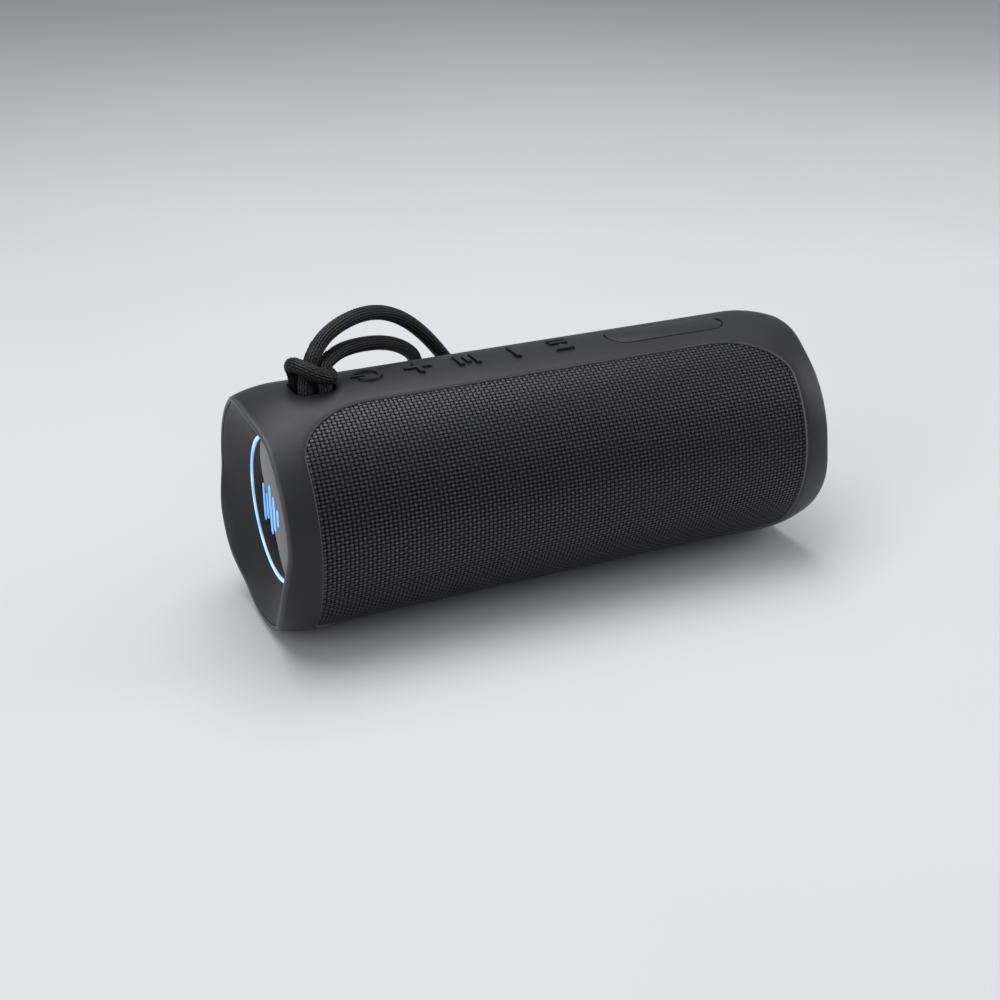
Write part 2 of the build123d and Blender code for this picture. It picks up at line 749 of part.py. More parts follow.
LEG_Y = 4.05
LEG_LOW = 31.3
LEFT_LEG_X = -78.5
RIGHT_LEG_X = -71.8
BAND_ROUTE = (
    (LEFT_LEG_X, LEG_Y, LEG_LOW + 5),
    (LEFT_LEG_X, LEG_Y, 42.4),
    (-81.0, 1.0, 46.6),
    (-78.6, -4.0, 46.8),
    (-74.4, -6.4, 45.2),
    (-69.8, -4.6, 43.8),
    (-68.9, 0.8, 43.4),
    (RIGHT_LEG_X, LEG_Y, 42.2),
    (RIGHT_LEG_X, LEG_Y, LEG_LOW + 5),
)
STRAND_ENDS = (
    (LEFT_LEG_X, (-76.4, -0.6, 44.0), (-74.0, 1.3, 48.0)),
    (RIGHT_LEG_X, (-71.6, -1.0, 42.8), (-70.4, 2.5, 44.3)),
)
LANYARD_ROUTE = (
    (-74.0, 1.3, 48.0),
    (-71.0, 3.4, 51.4),
    (-66.6, 6.0, 54.0),
    (-60.4, 9.2, 55.8),
    (-52.2, 13.8, 56.0),
    (-43.6, 19.4, 53.6),
    (-34.8, 25.4, 48.6),
    (-26.4, 31.6, 41.4),
    (-18.4, 37.6, 32.6),
    (-10.4, 43.2, 22.4),
    (-2.2, 47.2, 12.6),
    (6.4, 49.0, 3.2),
    (12.8, 50.0, -7.4),
    (13.4, 50.4, -19.8),
    (6.2, 50.6, -30.0),
    (-5.6, 50.6, -33.8),
    (-17.0, 50.4, -28.8),
    (-23.2, 50.0, -17.8),
    (-24.6, 49.4, -5.2),
    (-23.6, 47.6, 7.2),
    (-22.6, 44.4, 19.0),
    (-25.2, 38.6, 29.2),
    (-32.8, 31.2, 36.4),
    (-42.0, 23.6, 41.6),
    (-51.6, 16.4, 44.8),
    (-60.4, 9.8, 46.6),
    (-66.4, 5.4, 46.2),
    (-70.4, 2.5, 44.3),
)

with BuildPart() as lanyard_hitch:
    add(cord(BAND_ROUTE, arc_radii(BAND_ROUTE)))
    for x, bend, end_point in STRAND_ENDS:
        leg = (
            (x, LEG_Y, LEG_LOW + 6),
            (x, LEG_Y, LEG_LOW),
            (x, -LEG_Y, LEG_LOW),
            (x, -LEG_Y, 40.0),
            bend,
            end_point,
        )
        add(cord(leg, [LEG_Y - 0.1, LEG_Y - 0.1, 4.0, 4.0]))
save(lanyard_hitch, "lanyard_hitch")

with BuildPart() as lanyard_cord:
    lanyard_radii = arc_radii(LANYARD_ROUTE)
    print("lanyard radii", [round(r) for r in lanyard_radii])
    add(cord(LANYARD_ROUTE, lanyard_radii))
save(lanyard_cord, "lanyard_cord")
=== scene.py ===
import json
from math import asin, cos, degrees, pi, radians, sin

import bpy
import numpy as np
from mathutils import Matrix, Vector
from mathutils.geometry import delaunay_2d_cdt


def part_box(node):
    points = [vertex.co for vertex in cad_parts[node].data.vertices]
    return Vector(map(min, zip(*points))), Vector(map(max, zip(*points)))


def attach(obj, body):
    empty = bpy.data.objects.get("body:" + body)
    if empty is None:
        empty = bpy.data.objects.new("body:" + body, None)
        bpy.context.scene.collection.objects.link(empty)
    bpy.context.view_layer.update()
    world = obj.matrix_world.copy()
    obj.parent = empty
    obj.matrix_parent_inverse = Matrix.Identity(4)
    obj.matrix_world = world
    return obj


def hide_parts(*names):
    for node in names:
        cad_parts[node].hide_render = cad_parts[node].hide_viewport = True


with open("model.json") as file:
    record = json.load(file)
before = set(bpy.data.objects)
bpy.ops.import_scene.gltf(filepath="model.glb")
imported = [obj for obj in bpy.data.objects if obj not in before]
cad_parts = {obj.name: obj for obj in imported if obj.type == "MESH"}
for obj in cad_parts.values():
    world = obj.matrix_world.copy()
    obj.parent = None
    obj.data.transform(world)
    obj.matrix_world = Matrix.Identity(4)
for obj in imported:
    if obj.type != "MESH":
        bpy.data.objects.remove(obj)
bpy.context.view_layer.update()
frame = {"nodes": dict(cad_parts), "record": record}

# Lengths are millimetres until make_piece() turns them into metres.
MM = 0.001


def box_mm(node):
    """Lowest and highest corner of a CAD node, in millimetres."""
    low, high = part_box(node)
    return np.array(low) / MM, np.array(high) / MM


# ------------------------------------------------------------------ sizes read from the frame
DISC_LOW, DISC_HIGH = box_mm("left_end_disc")
AXIS_Z = (DISC_LOW[2] + DISC_HIGH[2]) / 2
SHELL_HIGH = box_mm("outer_shell")[1]
BODY_R = SHELL_HIGH[2] - AXIS_Z
LOBE_X = SHELL_HIGH[0]
LED_LOW, LED_HIGH = box_mm("left_led_ring")
LED_FACE_X = -LED_LOW[0]
DISC_R = DISC_HIGH[1]
COVER_LOW, COVER_HIGH = box_mm("port_cover")
CUP_LOW, CUP_HIGH = box_mm("lanyard_cup")
CLOTH_TOP_R = -box_mm("front_cloth")[0][1]

# ------------------------------------------------------------------ driving sizes of the shell
WALL = 2.0
LOBE_RISE = 2.2
GAP_X = LOBE_X - LOBE_RISE
TAPER_X = 83.2
OUTER_TAPER_R = 40.12
INNER_TAPER_R = 50.0
WINDOW_X = 86.4
WINDOW_TOP_ANGLE = 70.0
CORNER_X = 62.0
CORNER_ANGLE = 57.0
CORNER_LOW_ANGLE = 43.0
CORNER_POWER = 1.1
RIM_R = 36.9
WAVE_START = 17.0
WAVE_END = 28.0
WAVE_BEND = 30.0
RING_X = 90.0
RING_STEP_ANGLE = 1.5
RIM_ROUND = 0.55
LIP_ROUND = 0.3
WINDOW_ROUND = 0.6
WINDOW_STEP = 1.3
KEY_STEP = 0.9
OPENING_STEP = 1.0
KEY_ROUND = 0.16
COVER_ROUND = 0.3
SLOT_ROUND = 0.6
KEY_GAP = 0.25
COVER_GAP = 0.3
SLOT_SIZE = (13.4, 13.6)
SLOT_CORNER = 3.5

# The end cap sits under the rim's lip and reaches in to the hole round the lit ring.
LED_GAP = 0.25
HOLE_R = LED_HIGH[1] + LED_GAP
CAP_GAP_X = 0.28
CAP_GAP_R = 0.08
DISH_BULGE = (95.2, 33.4)
DISH_ROUND = 0.25
CAP_BACK_X = 86.85
CAP_SKIRT_R = (34.6, 37.7)

# Rounded edges: each pair is a distance back along the barrel and a drop in radius.
CAP_EDGE = ((0.5, 0.0), (0.2, 0.05), (0.0, DISH_ROUND))
DISC_EDGE = ((0.3, 0.0), (0.1, 0.06), (0.0, 0.2))
DISC_DOME = 0.8
DOME_INSET = 1.2

KEY_NAMES = ("power_key", "plus_key", "mode_key", "minus_key", "play_key")
POWER_R = (3.2, 4.4)
POWER_MOUTH = 2.0
POWER_BAR = (4.0, 1.1)
POWER_BAR_X = -3.5
SIGN_SIZE = (1.5, 9.0)
MODE_WIDTH = 1.4
MODE_BARS = ((-2.9, 8.0), (0.0, 5.0), (2.9, 8.0))
PLAY_TRIANGLE = ((-3.2, -4.6), (3.2, -4.6), (0.0, -0.2))
PLAY_BAR = (6.4, 1.3)
PLAY_BAR_Y = (1.5, 3.9)


def v_of(angle):
    """Distance round the barrel at an angle in degrees from the front, upwards."""
    return BODY_R * radians(angle)


def outer_radius(x):
    """Radius of the barrel's outside, which curves in towards each end."""
    over = np.maximum(np.abs(x) - TAPER_X, 0)
    return BODY_R - (OUTER_TAPER_R - np.sqrt(OUTER_TAPER_R**2 - over**2))


def inner_radius(x):
    """Radius of the shell's inside, which curves in less."""
    over = np.maximum(np.abs(x) - TAPER_X, 0)
    return BODY_R - WALL - (INNER_TAPER_R - np.sqrt(INNER_TAPER_R**2 - over**2))


def rim_x(angle):
    """Half length of the barrel at an angle in degrees: gaps at 30, 150 and 270 between the lobes."""
    from_gap = (np.asarray(angle, float) + 30) % 120 - 60
    across = np.abs(RIM_R * np.sin(np.radians(from_gap)))
    slope = np.arctan2(LOBE_RISE, WAVE_END - WAVE_START)
    reach = WAVE_BEND * np.tan(slope / 2)
    low = WAVE_BEND - np.sqrt(
        WAVE_BEND**2 - np.clip(across - WAVE_START + reach, 0, WAVE_BEND * np.sin(slope)) ** 2
    )
    high = WAVE_BEND - np.sqrt(
        WAVE_BEND**2 - np.clip(WAVE_END + reach - across, 0, WAVE_BEND * np.sin(slope)) ** 2
    )
    low_end = WAVE_START + reach * np.cos(slope)
    high_start = WAVE_END - reach * np.cos(slope)
    middle = (across - WAVE_START) * np.tan(slope)
    x = np.where(across < low_end, low, np.where(across > high_start, LOBE_RISE - high, middle))
    return GAP_X + x


def on_barrel(x, v, radius):
    """Points at distances x along and v round the barrel."""
    turn = np.asarray(v) / BODY_R
    return np.stack(
        [x + 0 * turn, -radius * np.cos(turn), AXIS_Z + radius * np.sin(turn)], axis=-1
    )


# ------------------------------------------------------------------ mesh helpers
def make_piece(name, points, faces, body, material, replaces=(), sharp=35.0):
    """A mesh in millimetres becomes a piece that rides on a body."""
    mesh = bpy.data.meshes.new(name)
    mesh.from_pydata([tuple(p) for p in np.asarray(points) * MM], [], [tuple(f) for f in faces])
    mesh.validate()
    mesh.materials.append(material)
    mesh.shade_smooth()
    mesh.set_sharp_from_angle(angle=radians(sharp))
    piece = bpy.data.objects.new(name, mesh)
    bpy.context.scene.collection.objects.link(piece)
    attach(piece, body)
    if replaces:
        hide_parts(*replaces)
    return piece


def welded(points, faces, within=0.004):
    """Joins points that lie together and drops the faces that this empties."""
    keys = np.round(np.asarray(points) / within).astype(np.int64)
    _, first, group = np.unique(keys, axis=0, return_index=True, return_inverse=True)
    group = group.ravel()
    kept = []
    for face in faces:
        corners = []
        for corner in (int(group[i]) for i in face):
            if corner not in corners:
                corners.append(corner)
        if len(corners) > 2:
            kept.append(corners)
    return np.asarray(points)[first], kept


def grid_faces(rows, columns, closed_rows=False, closed_columns=False, flip=False, start=0):
    """Quads over a grid of points stored row by row."""
    faces = []
    for i in range(rows if closed_rows else rows - 1):
        for j in range(columns if closed_columns else columns - 1):
            a = start + i * columns + j
            b = start + i * columns + (j + 1) % columns
            c = start + (i + 1) % rows * columns + (j + 1) % columns
            d = start + (i + 1) % rows * columns + j
            faces.append((d, c, b, a) if flip else (a, b, c, d))
    return faces


def resampled(points, step, closed=False):
    """The same outline with a point at each corner and about every step."""
    points = [np.array(p, float) for p in points]
    if closed:
        points.append(points[0])
    out = []
    for a, b in zip(points, points[1:]):
        count = max(1, int(round(np.linalg.norm(b - a) / step)))
        out += [a + (b - a) * k / count for k in range(count)]
    return np.array(out if closed else out + [points[-1]])


def offset_line(points, distance, closed):
    """The outline moved to its left by a distance, with mitred corners."""
    points = np.asarray(points, float)
    ahead = np.roll(points, -1, axis=0) - points
    if not closed:
        ahead[-1] = ahead[-2]
    behind = np.roll(ahead, 1, axis=0)
    if not closed:
        behind[0] = ahead[0]
    left = [np.stack([-d[:, 1], d[:, 0]], 1) / np.linalg.norm(d, axis=1)[:, None] for d in (behind, ahead)]
    total = left[0] + left[1]
    return points + distance * total / (1 + (left[0] * left[1]).sum(1))[:, None]


def inside(points, polygon):
    """Which points lie inside a polygon."""
    x, y = points[:, 0], points[:, 1]
    within = np.zeros(len(points), bool)
    for (x0, y0), (x1, y1) in zip(polygon, np.roll(polygon, -1, axis=0)):
        if y0 != y1:
            crosses = (y0 > y) != (y1 > y)
            within ^= crosses & (x < (x1 - x0) * (y - y0) / (y1 - y0) + x0)
    return within


# ------------------------------------------------------------------ outlines on the barrel
def window_edge(grow=0.0):
    """Upper half of the front window's outline, from its left end to its right."""
    top = BODY_R * sin(radians(WINDOW_TOP_ANGLE - CORNER_ANGLE)) + grow
    low = BODY_R * sin(radians(CORNER_LOW_ANGLE - CORNER_ANGLE))
    corner = []
    for k in range(25):
        turn = radians(90 * k / 24)
        x = CORNER_X + (WINDOW_X + grow - CORNER_X) * cos(turn) ** CORNER_POWER
        t = low + (top - low) * sin(turn) ** CORNER_POWER
        corner.append((x, v_of(CORNER_ANGLE + degrees(asin(t / BODY_R)))))
    right = [(WINDOW_X + grow, 0.0)] + corner
    return resampled([(-x, v) for x, v in right] + right[::-1], WINDOW_STEP)


def polygon_on_top(polygon):
    """An outline in x and y, seen from above, as distances along and round the barrel."""
    return np.array([(x, BODY_R * (pi / 2 + asin(y / BODY_R))) for x, y in polygon])


def rectangle(middle_x, middle_y, size, gap=0.0):
    x, y = size[0] / 2 + gap, size[1] / 2 + gap
    return [(middle_x + a * x, middle_y + b * y) for a, b in ((-1, -1), (1, -1), (1, 1), (-1, 1))]


def arc(middle, radius, start, end, count):
    return [
        (middle[0] + radius * cos(radians(a)), middle[1] + radius * sin(radians(a)))
        for a in np.linspace(start, end, count)
    ]


def stadium(middle_x, length, width):
    reach = (length - width) / 2
    right = arc((middle_x + reach, 0), width / 2, -90, 90, 19)
    left = arc((middle_x - reach, 0), width / 2, 90, 270, 19)
    return right + left


def rounded_rectangle(middle_x, size, corner):
    outline = []
    for k, (a, b) in enumerate(((1, -1), (1, 1), (-1, 1), (-1, -1))):
        middle = (middle_x + a * (size[0] / 2 - corner), b * (size[1] / 2 - corner))
        outline += arc(middle, corner, -90 + 90 * k, 90 * k, 8)
    return outline


def power_opening(x):
    """Ring that is open at its left, round a bar that lies in the mouth."""
    low_r, high_r = POWER_R[0] - KEY_GAP, POWER_R[1] + KEY_GAP
    mouth_out = degrees(asin((POWER_MOUTH - KEY_GAP) / high_r))
    mouth_in = degrees(asin((POWER_MOUTH - KEY_GAP) / low_r))
    ring = arc((x, 0), high_r, 180 + mouth_out, 540 - mouth_out, 40)
    ring += arc((x, 0), low_r, 540 - mouth_in, 180 + mouth_in, 32)
    return [ring, rectangle(x + POWER_BAR_X, 0, POWER_BAR, KEY_GAP)]


def plus_opening(x):
    half, arm = SIGN_SIZE[0] / 2 + KEY_GAP, SIGN_SIZE[1] / 2 + KEY_GAP
    cross = [(-arm, -half), (-half, -half), (-half, -arm), (half, -arm), (half, -half), (arm, -half)]
    cross += [(-a, -b) for a, b in cross]
    return [[(x + a, b) for a, b in cross]]


def play_opening(x):
    triangle = offset_line([(x + a, b) for a, b in PLAY_TRIANGLE], -KEY_GAP, True)
    return [triangle.tolist()] + [rectangle(x, y, PLAY_BAR, KEY_GAP) for y in PLAY_BAR_Y]


def key_openings():
    """Outlines of the symbol openings, in x and y, with the gap round each symbol."""
    power, plus, mode, minus, play = (sum(box_mm(name))[0] / 2 for name in KEY_NAMES)
    outlines = power_opening(power) + plus_opening(plus)
    outlines += [rectangle(mode + x, 0, (MODE_WIDTH, length), KEY_GAP) for x, length in MODE_BARS]
    outlines.append(rectangle(minus, 0, SIGN_SIZE, KEY_GAP))
    return outlines + play_opening(play)


# ------------------------------------------------------------------ materials
def new_material(name):
    material = bpy.data.materials.new(name)
    material.use_nodes = True
    nodes, links = material.node_tree.nodes, material.node_tree.links
    return material, nodes, links, nodes["Principled BSDF"]


def noise(nodes, links, scale, detail=3.0, stretch=None):
    """A noise texture on the object's own coordinates, in metres."""
    place = nodes.new("ShaderNodeTexCoord")
    texture = nodes.new("ShaderNodeTexNoise")
    texture.inputs["Scale"].default_value = scale
    texture.inputs["Detail"].default_value = detail
    if stretch:
        mapping = nodes.new("ShaderNodeMapping")
        mapping.inputs["Scale"].default_value = stretch
        links.new(place.outputs["Object"], mapping.inputs["Vector"])
        links.new(mapping.outputs["Vector"], texture.inputs["Vector"])
    else:
        links.new(place.outputs["Object"], texture.inputs["Vector"])
    return texture


def ramp(nodes, links, source, stops):
    """A colour ramp driven by a socket. Each stop is a place and a colour."""
    node = nodes.new("ShaderNodeValToRGB")
    elements = node.color_ramp.elements
    while len(elements) < len(stops):
        elements.new(0.5)
    for element, (place, colour) in zip(elements, stops):
        element.position = place
        element.color = (*colour, 1)
    links.new(source, node.inputs["Fac"])
    return node


def to_range(nodes, links, source, low, high):
    node = nodes.new("ShaderNodeMapRange")
    node.inputs["To Min"].default_value = low
    node.inputs["To Max"].default_value = high
    links.new(source, node.inputs["Value"])
    return node


def bump(nodes, links, source, distance, under=None):
    node = nodes.new("ShaderNodeBump")
    node.inputs["Distance"].default_value = distance
    node.inputs["Strength"].default_value = 1.0
    links.new(source, node.inputs["Height"])
    if under:
        links.new(under.outputs["Normal"], node.inputs["Normal"])
    return node


def moulded(name, dark, light, roughness, grain, depth, spread=0.06):
    """Moulded or sprayed surface: broad colour drift, uneven polish and a fine grain."""
    material, nodes, links, shader = new_material(name)
    drift = noise(nodes, links, 35, 4)
    colour = ramp(nodes, links, drift.outputs["Fac"], ((0.3, dark), (0.7, light)))
    links.new(colour.outputs["Color"], shader.inputs["Base Color"])
    rub = noise(nodes, links, 260, 5)
    polish = to_range(nodes, links, rub.outputs["Fac"], roughness - spread, roughness + spread)
    links.new(polish.outputs["Result"], shader.inputs["Roughness"])
    fine = noise(nodes, links, grain, 2)
    relief = bump(nodes, links, fine.outputs["Fac"], depth)
    links.new(relief.outputs["Normal"], shader.inputs["Normal"])
    return material


def brushed(name, dark, light, roughness):
    """Metal with fine lines along the barrel."""
    material, nodes, links, shader = new_material(name)
    lines = noise(nodes, links, 900, 4, stretch=(0.06, 1, 1))
    colour = ramp(nodes, links, lines.outputs["Fac"], ((0.3, dark), (0.7, light)))
    links.new(colour.outputs["Color"], shader.inputs["Base Color"])
    polish = to_range(nodes, links, lines.outputs["Fac"], roughness - 0.08, roughness + 0.1)
    links.new(polish.outputs["Result"], shader.inputs["Roughness"])
    relief = bump(nodes, links, lines.outputs["Fac"], 0.00001)
    links.new(relief.outputs["Normal"], shader.inputs["Normal"])
    shader.inputs["Metallic"].default_value = 1.0
    return material


def lit(name, core, edge, strength):
    """Diffuser lit from behind, a little uneven."""
    material, nodes, links, shader = new_material(name)
    spots = noise(nodes, links, 120, 2)
    glow = ramp(nodes, links, spots.outputs["Fac"], ((0.3, edge), (0.62, core)))
    links.new(glow.outputs["Color"], shader.inputs["Emission Color"])
    links.new(glow.outputs["Color"], shader.inputs["Base Color"])
    shader.inputs["Emission Strength"].default_value = strength
    shader.inputs["Roughness"].default_value = 0.35
    return material


def board(name):
    """Green solder mask with copper tracks just visible under it."""
    material, nodes, links, shader = new_material(name)
    place = nodes.new("ShaderNodeTexCoord")
    tracks = nodes.new("ShaderNodeTexBrick")
    tracks.inputs["Scale"].default_value = 260
    tracks.inputs["Color1"].default_value = (0.005, 0.07, 0.03, 1)
    tracks.inputs["Color2"].default_value = (0.008, 0.1, 0.04, 1)
    tracks.inputs["Mortar"].default_value = (0.05, 0.2, 0.07, 1)
    links.new(place.outputs["Object"], tracks.inputs["Vector"])
    links.new(tracks.outputs["Color"], shader.inputs["Base Color"])
    relief = bump(nodes, links, tracks.outputs["Fac"], 0.00002)
    links.new(relief.outputs["Normal"], shader.inputs["Normal"])
    shader.inputs["Roughness"].default_value = 0.32
    return material


def calculate(nodes, links, operation, first, second=None):
    """A maths node. Each input is a socket or a number."""
    node = nodes.new("ShaderNodeMath")
    node.operation = operation
    for place, value in enumerate((first, second)):
        if value is None:
            continue
        if isinstance(value, (int, float)):
            node.inputs[place].default_value = value
        else:
            links.new(value, node.inputs[place])
    return node.outputs["Value"]


def yarn_profile(nodes, links, along, across, sign):
    """Height of the yarns that run one way: each is a rounded float that rises and dips."""
    index = calculate(nodes, links, "ROUND", across)
    beside = calculate(nodes, links, "SUBTRACT", across, index)
    beside = calculate(nodes, links, "MULTIPLY", beside, 2.0)
    beside = calculate(nodes, links, "MULTIPLY", beside, beside)
    body = calculate(nodes, links, "SUBTRACT", 1.0, beside)
    body = calculate(nodes, links, "POWER", calculate(nodes, links, "MAXIMUM", body, 0.0), 0.5)
    turn = calculate(nodes, links, "MULTIPLY", calculate(nodes, links, "ADD", along, index), pi)
    wave = calculate(nodes, links, "COSINE", turn)
    wave = calculate(nodes, links, "ADD", calculate(nodes, links, "MULTIPLY", wave, sign * 0.5), 0.5)
    return calculate(nodes, links, "MULTIPLY", body, wave)


def woven(name, painted_pit_shade, crown, fibre_scale):
    """Plain weave: painted highlight on bright crowns, painted shade in near-black pits, and fine fibres
    over each yarn.
    """
    material, nodes, links, shader = new_material(name)
    place = nodes.new("ShaderNodeAttribute")
    place.attribute_name = "weave_place"
    split = nodes.new("ShaderNodeSeparateXYZ")
    links.new(place.outputs["Vector"], split.inputs["Vector"])
    weft = yarn_profile(nodes, links, split.outputs["X"], split.outputs["Y"], 1)
    warp = yarn_profile(nodes, links, split.outputs["Y"], split.outputs["X"], -1)
    warp = calculate(nodes, links, "MULTIPLY", warp, 0.8)
    height = calculate(nodes, links, "MAXIMUM", weft, warp)
    fibres = noise(nodes, links, fibre_scale, 3)
    loose = calculate(nodes, links, "MULTIPLY", fibres.outputs["Fac"], 0.25)
    shade_and_fibres = calculate(nodes, links, "ADD", height, loose)
    # Painted shade and highlight: colour runs from near-black in the pits up past the yarn's colour on the
    # crowns; the fibres add random tone.
    painted_yarn_shade = ramp(nodes, links, shade_and_fibres, ((0.5, painted_pit_shade), (0.85, crown), (1.0, tuple(1.6 * c for c in crown))))
    links.new(painted_yarn_shade.outputs["Color"], shader.inputs["Base Color"])
    # Painted shade on the sheen: the specular fades out towards the pits.
    gloss = ramp(nodes, links, height, ((0.35, (0, 0, 0)), (1.0, (0.85, 0.85, 0.85))))
    links.new(gloss.outputs["Color"], shader.inputs["Specular IOR Level"])
    weave = bump(nodes, links, height, 0.0005)
    relief = bump(nodes, links, fibres.outputs["Fac"], 0.00005, weave)
    links.new(relief.outputs["Normal"], shader.inputs["Normal"])
    shader.inputs["Roughness"].default_value = 0.36
    return material


def braided(name, painted_pit_shade, crown, fibre_scale):
    """Braided yarn: painted shade makes it darker between the stitches, with fine fibres over them."""
    material, nodes, links, shader = new_material(name)
    height = nodes.new("ShaderNodeAttribute")
    height.attribute_name = "yarn_height"
    # Painted shade: colour and specular drop between the stitches, where the yarn dips.
    painted_yarn_shade = ramp(nodes, links, height.outputs["Fac"], ((0.15, painted_pit_shade), (0.95, crown)))
    links.new(painted_yarn_shade.outputs["Color"], shader.inputs["Base Color"])
    gloss = to_range(nodes, links, height.outputs["Fac"], 0.02, 0.5)
    links.new(gloss.outputs["Result"], shader.inputs["Specular IOR Level"])
    fibres = noise(nodes, links, fibre_scale, 3)
    relief = bump(nodes, links, fibres.outputs["Fac"], 0.00006)
    links.new(relief.outputs["Normal"], shader.inputs["Normal"])
    shader.inputs["Roughness"].default_value = 0.5
    return material


def soft_touch(name):
    """Sprayed rubber coat, with a painted highlight: a little paler where an edge is rounded."""
    material = moulded(name, (0.0135, 0.0135, 0.0155), (0.0165, 0.0165, 0.0185), 0.46, 5200, 0.000012)
    nodes, links = material.node_tree.nodes, material.node_tree.links
    shader = nodes["Principled BSDF"]
    coat = shader.inputs["Base Color"].links[0].from_socket
    edge = nodes.new("ShaderNodeAttribute")
    edge.attribute_name = "painted_edge_highlight"
    # Painted highlight: the coat blends towards this pale grey along the rounded edges.
    blend = nodes.new("ShaderNodeMix")
    blend.data_type = "RGBA"
    blend.inputs["B"].default_value = (0.11, 0.11, 0.125, 1)
    links.new(edge.outputs["Fac"], blend.inputs["Factor"])
    links.new(coat, blend.inputs["A"])
    links.new(blend.outputs["Result"], shader.inputs["Base Color"])
    shader.inputs["Specular IOR Level"].default_value = 0.34
    return material


def grey(value, blue=0.0):
    return (value, value, value + blue)


SHELL = soft_touch("soft_touch_shell")
GLOSS = moulded("gloss_black", grey(0.004, 0.001), grey(0.006, 0.001), 0.035, 700, 0.0000004, 0.015)
# For the cloth and the braid, the first colour is painted shade in the pits and the second is the yarn on
# the crowns.
CLOTH = woven("speaker_cloth", grey(0.0003, 0.0001), grey(0.017, 0.005), 9000)
BRAID = braided("cord_braid", grey(0.001), grey(0.017, 0.001), 7000)

# Each row: darker and paler colour, roughness, scale of the grain, depth of the grain in metres.
MOULDED_SLOTS = {
    "key_rubber": (grey(0.005, 0.001), grey(0.008, 0.001), 0.5, 4200, 0.000015),
    "seal_rubber": (grey(0.008), grey(0.013), 0.6, 3800, 0.00002),
    "grille_plastic": (grey(0.01), grey(0.015), 0.5, 3000, 0.00001),
    "cabinet_plastic": (grey(0.035, 0.002), grey(0.05, 0.002), 0.48, 2600, 0.00002),
    "chip_plastic": (grey(0.01, 0.001), grey(0.018, 0.001), 0.42, 5000, 0.00001),
    "cell_wrap": ((0.01, 0.05, 0.16), (0.015, 0.07, 0.2), 0.3, 900, 0.000008),
    "magnet_iron": (grey(0.02, 0.002), grey(0.045, 0.003), 0.6, 1800, 0.00004),
    "cone_paper": (grey(0.012), grey(0.03), 0.8, 1500, 0.00008),
}
BRUSHED_SLOTS = {
    "steel": (grey(0.35, 0.01), grey(0.55, 0.01), 0.34),
    "socket_metal": (grey(0.45, 0.01), grey(0.62, 0.01), 0.28),
    "copper_coil": ((0.5, 0.2, 0.08), (0.75, 0.36, 0.16), 0.35),
}
NODE_MATERIALS = {name: moulded(name, *row) for name, row in MOULDED_SLOTS.items()}
NODE_MATERIALS |= {name: brushed(name, *row) for name, row in BRUSHED_SLOTS.items()}
NODE_MATERIALS |= {
    "circuit_board": board("circuit_board"),
    "light_guide": lit("light_guide", (0.40, 0.60, 0.80), (0.20, 0.42, 0.72), 1.0),
    "lit_icon": lit("lit_icon", (0.14, 0.37, 0.70), (0.08, 0.28, 0.62), 0.95),
    "gloss_black": GLOSS,
    "soft_shell": SHELL,
    "cloth": CLOTH,
    "cord_braid": BRAID,
}


# ------------------------------------------------------------------ the shell
FILLER_STEP = 1.7
FILLER_CLEARANCE = 0.75
UPRIGHT_REACH = 10.0


def patch_lips(edge, radius, closed):
    """Loops that round an edge over: each is an outline and its drop below the surface."""
    loops = []
    for turn in (0, 30, 60, 90):
        inward = radius * (1 - cos(radians(turn)))
        drop = radius * (1 - sin(radians(turn)))
        loops.append((offset_line(edge, inward, closed), drop))
    return loops


def opening_edge(outline, step, radius):
    """Edge of a closed opening in the top spine, as spine_patch() takes it."""
    return polygon_on_top(resampled(outline, step, True))[::-1], radius, True


def top_openings():
    """Edges of the key symbols, of the port cover's seat and of the lanyard's slot."""
    edges = [opening_edge(outline, KEY_STEP, KEY_ROUND) for outline in key_openings()]
    length, width = (COVER_HIGH - COVER_LOW)[:2] + 2 * COVER_GAP
    seat = stadium((COVER_HIGH[0] + COVER_LOW[0]) / 2, length, width)
    edges.append(opening_edge(seat, OPENING_STEP, COVER_ROUND))
    slot = rounded_rectangle((CUP_LOW[0] + CUP_HIGH[0]) / 2, SLOT_SIZE, SLOT_CORNER)
    edges.append(opening_edge(slot, OPENING_STEP, SLOT_ROUND))
    return edges


def filler_points(taken, windows):
    """A grid of points over the spine, outside the windows and clear of the points taken."""
    xs = np.arange(-RING_X + FILLER_STEP, RING_X - FILLER_STEP / 2, FILLER_STEP)
    grid = np.array([(x, v) for x in xs for v in np.arange(FILLER_STEP, v_of(180), FILLER_STEP)])
    grid = grid[~(inside(grid, windows[0]) | inside(grid, windows[1]))]
    gaps = np.array([np.min(np.hypot(*(taken - p).T)) for p in grid])
    return grid[gaps > FILLER_CLEARANCE]


